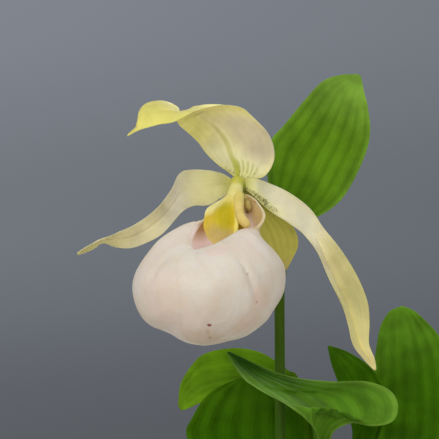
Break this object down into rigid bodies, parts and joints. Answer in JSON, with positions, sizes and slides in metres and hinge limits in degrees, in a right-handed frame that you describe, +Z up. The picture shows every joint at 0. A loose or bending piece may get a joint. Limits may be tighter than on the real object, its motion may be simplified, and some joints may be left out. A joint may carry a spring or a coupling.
{
  "type": "potted slipper orchid",
  "caption": "Slipper orchid in a round pot: inflated pouch, twisted sepals and petals, a bract behind the flower and broad pleated leaves.",
  "frame": {"origin": "centre of the pot's foot, on the surface it stands on", "axes": "+Z up along the flowering stem, -Y towards the viewer, +X to the viewer's right"},
  "size_m": [0.134, 0.1318, 0.3045],
  "materials": {
    "terracotta": "matte",
    "potting_soil": "matte",
    "stem_green": "satin",
    "dry_sheath": "matte",
    "green_sheath": "matte",
    "leaf_green": "satin",
    "leaf_deep": "satin",
    "leaf_bright": "satin",
    "ovary_green": "satin",
    "petal_cream": "satin",
    "sepal_olive": "satin",
    "pouch_white": "satin",
    "column_yellow": "satin",
    "shield_yellow": "satin",
    "pollen_brown": "matte"
  },
  "bodies": {
    "root": {"pot": "terracotta", "soil": "potting_soil", "stem": "stem_green", "shoot_stem": "stem_green", "sheath_lower": "dry_sheath", "sheath_upper": "green_sheath", "shoot_sheath": "dry_sheath", "leaf_front": "leaf_green", "leaf_behind": "leaf_deep", "leaf_back": "leaf_bright", "shoot_leaf_tip": "leaf_deep", "shoot_leaf_right": "leaf_green", "bract": "leaf_green", "ovary": "ovary_green", "dorsal_sepal": "petal_cream", "synsepal": "sepal_olive", "petal_left": "petal_cream", "petal_right": "petal_cream", "lip": "pouch_white", "column": "column_yellow", "staminode": "shield_yellow", "stigma": "column_yellow", "anther_near": "pollen_brown", "anther_far": "pollen_brown"}
  },
  "joints": []
}
